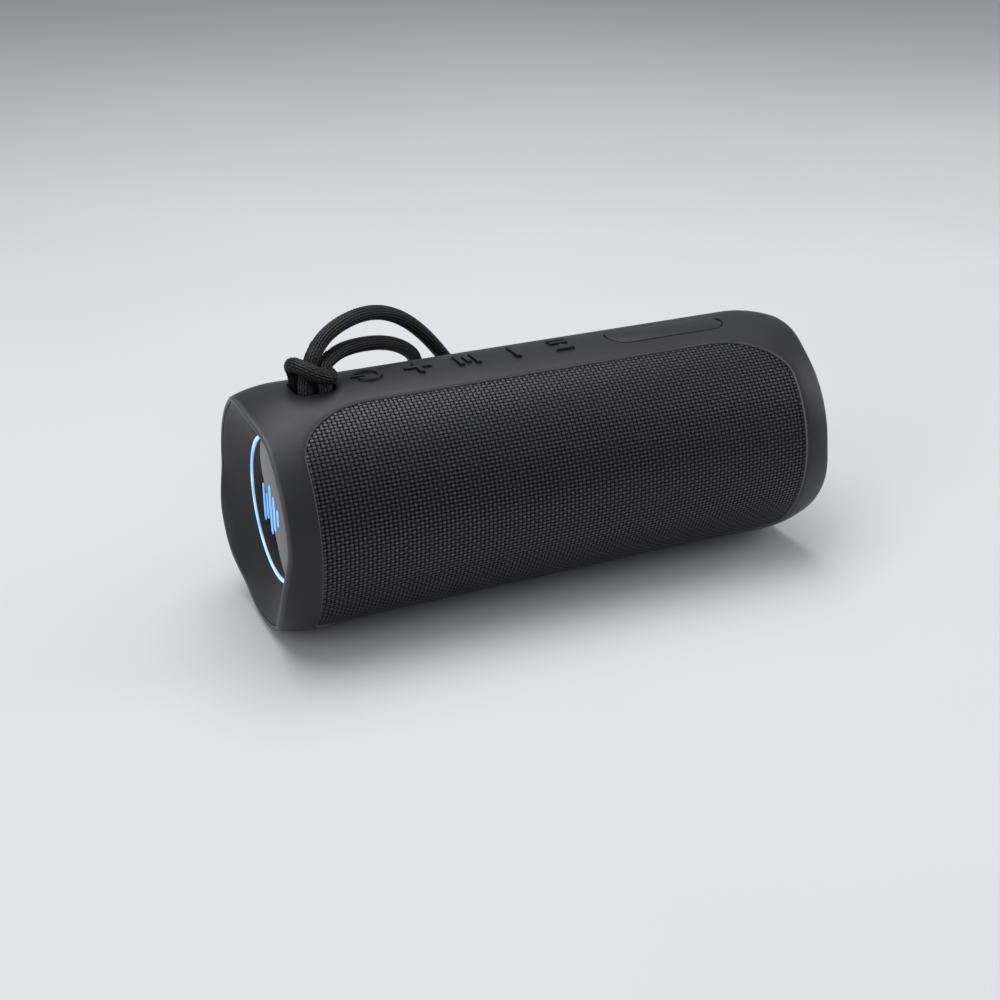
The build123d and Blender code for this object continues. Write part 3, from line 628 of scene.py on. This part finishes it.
def spine_patch(upper):
    """The shell between the end rings, over the top or under the bottom, with both its sides."""
    side = 1 if upper else -1
    front = window_edge()
    rear = np.stack([front[:, 0], v_of(180) - front[:, 1]], 1)
    edges = [(front, WINDOW_ROUND, False), (rear[::-1], WINDOW_ROUND, False)]
    if upper:
        edges += top_openings()

    points, drops, constraints, walls = [], [], [], []
    for edge, radius, closed in edges:
        for place, (loop, drop) in enumerate(patch_lips(edge, radius, closed)):
            first = len(points)
            points += [tuple(p) for p in loop]
            drops += [drop] * len(loop)
            pairs = [(first + k, first + k + 1) for k in range(len(loop) - 1)]
            if closed:
                pairs.append((first + len(loop) - 1, first))
            constraints += pairs
            if place == 0:
                walls += pairs
    steps = int(round(180 / RING_STEP_ANGLE))
    for end in (-1, 1):
        first = len(points)
        points += [(end * RING_X, v_of(180) * k / steps) for k in range(steps + 1)]
        drops += [0.0] * (steps + 1)
        constraints += [(first + k, first + k + 1) for k in range(steps)]
    filler = filler_points(np.array(points), (front, rear))
    points += [tuple(p) for p in filler]
    drops += [0.0] * len(filler)

    flat, _, triangles, origin, _, _ = delaunay_2d_cdt(
        [Vector(p) for p in points], constraints, [], 0, 1e-5
    )
    flat = np.array([tuple(p) for p in flat])
    drop = np.array([drops[o[0]] if o else 0.0 for o in origin])
    source = {o: k for k, many in enumerate(origin) for o in many}
    middles = np.array([flat[list(t)].mean(0) for t in triangles])
    cut = inside(middles, front) | inside(middles, rear)
    for edge, _, closed in edges:
        if closed:
            cut |= inside(middles, edge)
    triangles = [t for t, gone in zip(triangles, cut) if not gone]

    # The openings on top are cut straight down, and the windows' edges towards the axis.
    x, v = flat[:, 0], side * flat[:, 1]
    level = on_barrel(x, v, outer_radius(x))
    outer = on_barrel(x, v, outer_radius(x) - drop)
    inner = on_barrel(x, v, inner_radius(x))
    if upper:
        upright = np.abs(v - v_of(90)) < UPRIGHT_REACH
        for surface in (outer, inner):
            surface[upright] = level[upright]
        outer[upright, 2] -= drop[upright]
        depth = np.sqrt(inner_radius(x[upright]) ** 2 - level[upright, 1] ** 2)
        inner[upright, 2] = AXIS_Z + depth
    count = len(flat)
    faces = []
    for triangle in triangles:
        turned = tuple(triangle)[::-side]
        faces.append(turned)
        faces.append(tuple(count + k for k in reversed(turned)))
    for a, b in walls:
        a, b = source[a], source[b]
        faces.append((a, b, count + b, count + a)[::side])
    return np.concatenate([outer, inner]), faces


def turned_rows(end, rows, angles):
    """Points of a closed band: each row is a place along the barrel and a radius."""
    return np.concatenate([on_barrel(end * x, BODY_R * np.radians(angles), r) for x, r in rows])


def ring_part(end):
    """One end ring, from the spines out over the lobed rim and back in."""
    angles = np.arange(0, 360, RING_STEP_ANGLE)
    rim = rim_x(angles)
    outer_start, inner_start = rim - RIM_ROUND, rim - LIP_ROUND
    rows = []
    for share in np.linspace(0, 1, 9):
        x = RING_X + share * (outer_start - RING_X)
        rows.append((x, outer_radius(x)))
    for turn in np.radians((22, 45, 68, 90)):
        x = outer_start + RIM_ROUND * sin(turn)
        rows.append((x, outer_radius(outer_start) - RIM_ROUND * (1 - cos(turn))))
    for turn in np.radians((0, 30, 60, 90)):
        x = rim - LIP_ROUND * (1 - cos(turn))
        rows.append((x, inner_radius(inner_start) + LIP_ROUND * (1 - sin(turn))))
    for share in np.linspace(0, 1, 7)[1:]:
        x = inner_start + share * (RING_X - inner_start)
        rows.append((x, inner_radius(x)))
    faces = grid_faces(len(rows), len(angles), closed_columns=True, flip=end < 0)
    return turned_rows(end, rows, angles), faces


def joined(parts):
    """Several pairs of points and faces as one pair."""
    points, faces, start = [], [], 0
    for part_points, part_faces in parts:
        points.append(part_points)
        faces += [tuple(start + k for k in f) for f in part_faces]
        start += len(part_points)
    return np.concatenate(points), faces


# Painted highlight on the shell's rounded edges: the distance over which it comes in beside the cloth, and
# its strength on the rim.
EDGE_HIGHLIGHT_FADE = 0.25
RIM_PAINTED_HIGHLIGHT = 0.45


def paint_edge_highlights(piece, points):
    """Paints a highlight on the rounded rim and on the edges beside the cloth: these are painted a little
    paler.
    """
    drop = outer_radius(points[:, 0]) - np.hypot(points[:, 1], points[:, 2] - AXIS_Z)
    beside_cloth = np.abs(points[:, 2] - AXIS_Z) < BODY_R * sin(radians(WINDOW_TOP_ANGLE + 3))
    beside_cloth &= np.abs(points[:, 0]) < WINDOW_X + 1.5
    beside_cloth &= (drop > 0.02) & (drop < WINDOW_ROUND + 0.1)
    angles = np.degrees(np.arctan2(points[:, 2] - AXIS_Z, -points[:, 1]))
    on_rim = (np.abs(points[:, 0]) > rim_x(angles) - RIM_ROUND - 0.01) & (drop < 5)
    # Painted highlight: it grows over the rounding beside the cloth and has a fixed strength on the rim.
    edge = np.where(beside_cloth, np.minimum(drop / EDGE_HIGHLIGHT_FADE, 1), 0)
    edge = np.where(on_rim, RIM_PAINTED_HIGHLIGHT, edge)
    paint = piece.data.attributes.new("painted_edge_highlight", "FLOAT", "POINT")
    paint.data.foreach_set("value", edge.astype(np.float32))


def build_shell():
    parts = [spine_patch(True), spine_patch(False), ring_part(-1), ring_part(1)]
    points, faces = welded(*joined(parts))
    piece = make_piece("shell", points, faces, "housing", SHELL, ["outer_shell"], 50)
    paint_edge_highlights(piece, points)


def build_end_cap(side, end):
    """Dish inside the rim: it runs from under the lip down to the lit ring."""
    angles = np.arange(0, 360, RING_STEP_ANGLE)
    rim = rim_x(angles) - CAP_GAP_X
    rim_r = inner_radius(rim) - CAP_GAP_R
    hole_x = LED_FACE_X - 0.1
    rows = [(rim - back, rim_r - drop) for back, drop in CAP_EDGE]
    for share in np.linspace(0, 1, 26)[1:]:
        a, b, c = (1 - share) ** 2, 2 * share * (1 - share), share**2
        x = a * rim + b * DISH_BULGE[0] + c * hole_x
        rows.append((x, a * (rim_r - DISH_ROUND) + b * DISH_BULGE[1] + c * (HOLE_R + DISH_ROUND)))
    rows += [(hole_x - 0.08, HOLE_R + 0.08), (hole_x - 0.3, HOLE_R), (CAP_BACK_X, HOLE_R)]
    rows += [(CAP_BACK_X, CAP_SKIRT_R[0]), (TAPER_X, CAP_SKIRT_R[0]), (TAPER_X, CAP_SKIRT_R[1])]
    points = turned_rows(end, rows, angles)
    faces = grid_faces(len(rows), len(angles), closed_rows=True, closed_columns=True, flip=end < 0)
    make_piece(f"{side}_dish", points, faces, "housing", SHELL, [f"{side}_end_cap"], 40)


def build_disc(side, end):
    """Glossy domed disc, finely enough divided to mirror cleanly."""
    low, high = box_mm(f"{side}_end_disc")
    near, far = sorted((abs(low[0]), abs(high[0])))
    profile = [(near, DISC_R - 0.01)]
    profile += [(far - DISC_DOME - back, DISC_R - drop) for back, drop in DISC_EDGE]
    for r in np.linspace(DISC_R - DOME_INSET, 0.05, 18):
        profile.append((far - DISC_DOME * (r / DISC_R) ** 2, r))
    angles = np.arange(0, 360, 3)
    points = turned_rows(end, profile, angles)
    faces = grid_faces(len(profile), len(angles), closed_columns=True, flip=end < 0)
    faces.append(tuple((len(profile) - 1) * len(angles) + k for k in range(len(angles)))[::end])
    body = f"{side}_radiator"
    make_piece(f"{side}_gloss_disc", points, faces, body, GLOSS, [f"{side}_end_disc"], 50)


# ------------------------------------------------------------------ cloth
WARP_PITCH = 1.43
WEFT_PITCH = 1.24
SAMPLES = 4
YARN_LIFT = 0.16
YARN_ROUND = 0.26
WEAVE_DEPTH = 0.7
CLOTH_OVERLAP = 0.4
TUCK_DEPTH = 0.3
TUCK_WIDTH = 1.2


def weave_height(x, v):
    """Plain weave, as the higher of the two yarns at each place, from 0 to 1."""
    weft = np.round(v / WEFT_PITCH)
    warp = np.round(x / WARP_PITCH)
    across_weft = (v - weft * WEFT_PITCH) / (0.5 * WEFT_PITCH)
    across_warp = (x - warp * WARP_PITCH) / (0.5 * WARP_PITCH)
    weft_up = np.cos(pi * (x / WARP_PITCH + weft))
    warp_up = -np.cos(pi * (v / WEFT_PITCH + warp))
    high_weft = YARN_LIFT * weft_up + YARN_ROUND * np.sqrt(np.clip(1 - 0.9 * across_weft**2, 0, 1))
    high_warp = 0.8 * YARN_LIFT * warp_up + YARN_ROUND * np.sqrt(np.clip(1 - across_warp**2, 0, 1)) - 0.05
    return np.maximum(high_weft, high_warp) / (YARN_LIFT + YARN_ROUND)


def build_cloth(name, middle):
    """One stretched panel, woven yarn by yarn and tucked under the shell's edge."""
    edge = window_edge(CLOTH_OVERLAP)
    half = edge[edge[:, 0] >= 0][::-1]
    top = half[:, 1].max()
    step_x, step_v = WARP_PITCH / SAMPLES, WEFT_PITCH / SAMPLES
    count_x = int((WINDOW_X + 1) / step_x)
    count_v = int(top / step_v)
    xs = np.arange(-count_x, count_x + 1) * step_x
    vs = np.concatenate([[-top], np.arange(-count_v, count_v + 1) * step_v, [top]])
    reach = np.interp(np.abs(vs), half[:, 1], half[:, 0])
    x, v = np.meshgrid(xs, vs)
    limit = np.repeat(reach[:, None], len(xs), 1)
    height = weave_height(x, v)
    to_side = limit - np.abs(x)
    x = np.clip(x, -limit, limit)
    to_edge = np.minimum(to_side, top - np.abs(v))
    tuck = TUCK_DEPTH * (1 - np.clip(to_edge / TUCK_WIDTH, 0, 1)) ** 2
    radius = CLOTH_TOP_R - WEAVE_DEPTH * (1 - height) - tuck
    points = on_barrel(x, v + v_of(middle), radius).reshape(-1, 3)
    flat_x = x.ravel()
    faces = [
        (a, b, c, d)
        for a, b, c, d in grid_faces(len(vs), len(xs), flip=True)
        if flat_x[a] != flat_x[b] or flat_x[c] != flat_x[d]
    ]
    points, faces = welded(points, faces, 0.002)
    piece = make_piece(f"{name}_weave", points, faces, "housing", CLOTH, [f"{name}_cloth"], 180)
    turn = np.arctan2(points[:, 2] - AXIS_Z, -cos(radians(middle)) * points[:, 1])
    place = np.stack([points[:, 0] / WARP_PITCH, BODY_R * turn / WEFT_PITCH, 0 * turn], 1)
    spots = piece.data.attributes.new("weave_place", "FLOAT_VECTOR", "POINT")
    spots.data.foreach_set("vector", place.astype(np.float32).ravel())


# ------------------------------------------------------------------ lanyard
# The routes' heights are measured from the barrel's axis.
LANYARD_ROUTE = (
    (-74.0, 1.3, 48.0),
    (-71.0, 3.4, 51.4),
    (-66.6, 6.0, 54.0),
    (-60.4, 9.2, 55.8),
    (-52.2, 13.8, 56.0),
    (-43.6, 19.4, 53.6),
    (-34.8, 25.4, 48.6),
    (-26.4, 31.6, 41.4),
    (-18.4, 37.6, 32.6),
    (-10.4, 43.2, 22.4),
    (-2.2, 47.2, 12.6),
    (6.4, 49.0, 3.2),
    (12.8, 50.0, -7.4),
    (13.4, 50.4, -19.8),
    (6.2, 50.6, -30.0),
    (-5.6, 50.6, -33.8),
    (-17.0, 50.4, -28.8),
    (-23.2, 50.0, -17.8),
    (-24.6, 49.4, -5.2),
    (-23.6, 47.6, 7.2),
    (-22.6, 44.4, 19.0),
    (-25.2, 38.6, 29.2),
    (-32.8, 31.2, 36.4),
    (-42.0, 23.6, 41.6),
    (-51.6, 16.4, 44.8),
    (-60.4, 9.8, 46.6),
    (-66.4, 5.4, 46.2),
    (-70.4, 2.5, 44.3),
)
CORD_D = 5.0
LEG_Y = 4.05
LEG_LOW = 31.3
LEFT_LEG_X = -78.5
RIGHT_LEG_X = -71.8
BAND_ROUTE = (
    (LEFT_LEG_X, LEG_Y, LEG_LOW + 5),
    (LEFT_LEG_X, LEG_Y, 42.4),
    (-81.2, 1.0, 47.6),
    (-78.8, -4.0, 47.5),
    (-74.4, -6.5, 45.0),
    (-69.9, -4.8, 42.9),
    (-68.9, 0.7, 42.7),
    (RIGHT_LEG_X, LEG_Y, 42.2),
    (RIGHT_LEG_X, LEG_Y, LEG_LOW + 5),
)
# Each strand drops behind the bar, turns under it and rises in front: y and height.
LEG_TURN = (
    (LEG_Y, LEG_LOW + 6),
    (LEG_Y, LEG_LOW + 1.5),
    (LEG_Y - 1.6, LEG_LOW - 0.1),
    (-LEG_Y + 1.6, LEG_LOW - 0.1),
    (-LEG_Y, LEG_LOW + 1.5),
    (-LEG_Y, 39.0),
)
# Each strand's place along the barrel, and its points once it is above the slot.
STRANDS = (
    (LEFT_LEG_X, (-76.4, -0.6, 44.0), (-74.0, 1.3, 48.0), (-71.0, 3.4, 51.4)),
    (RIGHT_LEG_X, (-71.6, -1.0, 42.8), (-70.4, 2.5, 44.3), (-66.4, 5.4, 46.2)),
)
BRAID_COLUMNS = 16
STITCH = 1.35
STITCH_SLANT = 0.9
STITCH_DEPTH = 0.3
BRAID_STEP = 0.25


def smooth_line(route):
    """Points along the NURBS spline that a route's points control, in millimetres."""
    curve = bpy.data.curves.new("route", "CURVE")
    curve.dimensions = "3D"
    curve.resolution_u = 24
    spline = curve.splines.new("NURBS")
    spline.points.add(len(route) - 1)
    for point, (x, y, z) in zip(spline.points, route):
        point.co = (x * MM, y * MM, (z + AXIS_Z) * MM, 1)
    spline.order_u = 3
    spline.use_endpoint_u = True
    holder = bpy.data.objects.new("route", curve)
    mesh = bpy.data.meshes.new_from_object(holder)
    line = np.array([vertex.co for vertex in mesh.vertices], float) / MM
    bpy.data.meshes.remove(mesh)
    bpy.data.objects.remove(holder)
    bpy.data.curves.remove(curve)
    return line


def even(line, step):
    """Evenly spaced points along a line, and how far along each one is."""
    along = np.concatenate([[0], np.cumsum(np.linalg.norm(np.diff(line, axis=0), axis=1))])
    places = np.linspace(0, along[-1], int(along[-1] / step) + 1)
    return np.stack([np.interp(places, along, line[:, k]) for k in range(3)], 1), places


def braided_tube(line):
    """Round braid: columns of slanted stitches, each column slanting the other way."""
    centre, along = even(line, BRAID_STEP)
    ahead = np.gradient(centre, axis=0)
    ahead /= np.linalg.norm(ahead, axis=1)[:, None]
    side = np.cross(ahead[0], (0, 0, 1.0))
    side /= np.linalg.norm(side)
    frames = []
    for direction in ahead:
        side = side - direction * (side @ direction)
        side /= np.linalg.norm(side)
        frames.append(side)
    side = np.array(frames)
    up = np.cross(ahead, side)
    segments = BRAID_COLUMNS * 4
    turn = np.arange(segments) / segments
    column = turn * BRAID_COLUMNS
    within = column % 1
    slant = np.where(np.floor(column) % 2 == 0, 1, -1) * (within - 0.5) * STITCH_SLANT
    phase = along[:, None] / STITCH + slant[None, :] + 0.5 * (np.floor(column) % 2)[None, :]
    ridge = np.sqrt(np.clip(np.sin(pi * within), 0, 1))[None, :]
    stitch = 0.5 + 0.5 * np.cos(2 * pi * phase)
    height = ridge * (0.3 + 0.7 * np.sqrt(stitch))
    radius = CORD_D / 2 - STITCH_DEPTH * (1 - height)
    angle = 2 * pi * turn[None, :]
    points = (
        centre[:, None, :]
        + radius[..., None] * np.cos(angle)[..., None] * side[:, None, :]
        + radius[..., None] * np.sin(angle)[..., None] * up[:, None, :]
    )
    faces = grid_faces(len(centre), segments, closed_columns=True)
    caps = [tuple(range(segments))[::-1], tuple((len(centre) - 1) * segments + k for k in range(segments))]
    return points.reshape(-1, 3), faces + caps, height.ravel(), centre


def braid_piece(name, tubes, replaces):
    """One piece of braided tubes, with the yarns' height kept for the material."""
    points, faces = joined([(t[0], t[1]) for t in tubes])
    piece = make_piece(name, points, faces, "housing", BRAID, replaces, 180)
    heights = piece.data.attributes.new("yarn_height", "FLOAT", "POINT")
    heights.data.foreach_set("value", np.concatenate([t[2] for t in tubes]).astype(np.float32))
    return piece


def build_lanyard():
    hitch_tubes = [braided_tube(smooth_line(BAND_ROUTE))]
    for x, *beyond in STRANDS:
        leg = [(x, y, z) for y, z in LEG_TURN] + beyond
        hitch_tubes.append(braided_tube(smooth_line(leg)))
    hitch = braid_piece("lanyard_hitch_braid", hitch_tubes, ["lanyard_hitch"])
    line = smooth_line(LANYARD_ROUTE)
    tube = braided_tube(line)
    cord = braid_piece("lanyard_cord_braid", [tube], ["lanyard_cord"])


# ------------------------------------------------------------------ CAD nodes that stay
SOFTENED = {"port_cover": 0.3, "foot_pads": 0.25, "usb_c_socket": 0.08, "aux_jack": 0.2}
SOFTENED |= {name: 0.14 for name in KEY_NAMES}


def finish_cad_nodes():
    """Gives each CAD node its material, and rounds the sharp edges of those in reach."""
    slots = {part["node"]: part["material_slot"] for part in frame["record"]["subparts"]}
    for name, node in frame["nodes"].items():
        material = SHELL if name == "port_cover" else NODE_MATERIALS[slots[name]]
        if not node.material_slots:
            node.data.materials.append(material)
        for place in node.material_slots:
            place.material = material
        if name in SOFTENED:
            weld = node.modifiers.new("weld", "WELD")
            weld.merge_threshold = 0.00001
            soft = node.modifiers.new("soft_edges", "BEVEL")
            soft.width = SOFTENED[name] * MM
            soft.segments = 3
            soft.limit_method = "ANGLE"
            soft.angle_limit = radians(35)
            soft.harden_normals = True


# ------------------------------------------------------------------ stage, in metres
FLOOR_REACH = 9.0
LENS = 55.2
LENS_SHIFT = (-0.0286, -0.0393)
CAMERA_PLACE = (-0.2061, -0.4325, 0.2101)


def area_light(name, place, target, size, power):
    data = bpy.data.lights.new(name, "AREA")
    data.shape = "RECTANGLE"
    data.size, data.size_y = size
    data.energy = power
    lamp = bpy.data.objects.new(name, data)
    lamp.location = place
    lamp.rotation_euler = (Vector(target) - Vector(place)).to_track_quat("-Z", "Y").to_euler()
    bpy.context.scene.collection.objects.link(lamp)


def build_stage():
    mesh = bpy.data.meshes.new("floor")
    corners = [(FLOOR_REACH * x, FLOOR_REACH * y, 0) for x, y in ((-1, -1), (1, -1), (1, 1), (-1, 1))]
    mesh.from_pydata(corners, [], [(0, 1, 2, 3)])
    material, nodes, links, shader = new_material("floor")
    mottle = noise(nodes, links, 3, 3)
    colour = ramp(nodes, links, mottle.outputs["Fac"], ((0.3, grey(0.60, 0.01)), (0.7, grey(0.64, 0.01))))
    links.new(colour.outputs["Color"], shader.inputs["Base Color"])
    shader.inputs["Roughness"].default_value = 0.9
    mesh.materials.append(material)
    floor = bpy.data.objects.new("floor", mesh)
    bpy.context.scene.collection.objects.link(floor)

    world = bpy.data.worlds.new("studio")
    world.use_nodes = True
    world.node_tree.nodes["Background"].inputs["Color"].default_value = (0.9, 0.93, 1.0, 1)
    world.node_tree.nodes["Background"].inputs["Strength"].default_value = 0.34
    bpy.context.scene.world = world
    middle = (0, 0, AXIS_Z * MM)
    area_light("top_box", (-0.1, 0.15, 1.1), middle, (1.3, 0.7), 12)
    area_light("left_box", (-1.0, -0.5, 0.6), middle, (0.6, 0.9), 4)
    area_light("right_box", (1.1, -0.3, 0.5), middle, (0.5, 0.9), 4)


def build_camera():
    data = bpy.data.cameras.new("camera")
    data.lens = LENS
    data.shift_x, data.shift_y = LENS_SHIFT
    camera = bpy.data.objects.new("camera", data)
    middle = Vector((0, 0, AXIS_Z * MM))
    camera.location = middle + Vector(CAMERA_PLACE)
    camera.rotation_euler = (middle - camera.location).to_track_quat("-Z", "Y").to_euler()
    bpy.context.scene.collection.objects.link(camera)
    bpy.context.scene.camera = camera
    bpy.context.scene.view_settings.view_transform = "Standard"


build_shell()
for side_name, end_sign in (("left", -1), ("right", 1)):
    build_end_cap(side_name, end_sign)
    build_disc(side_name, end_sign)
build_cloth("front", 0)
build_cloth("rear", 180)
build_lanyard()
finish_cad_nodes()
build_stage()
build_camera()
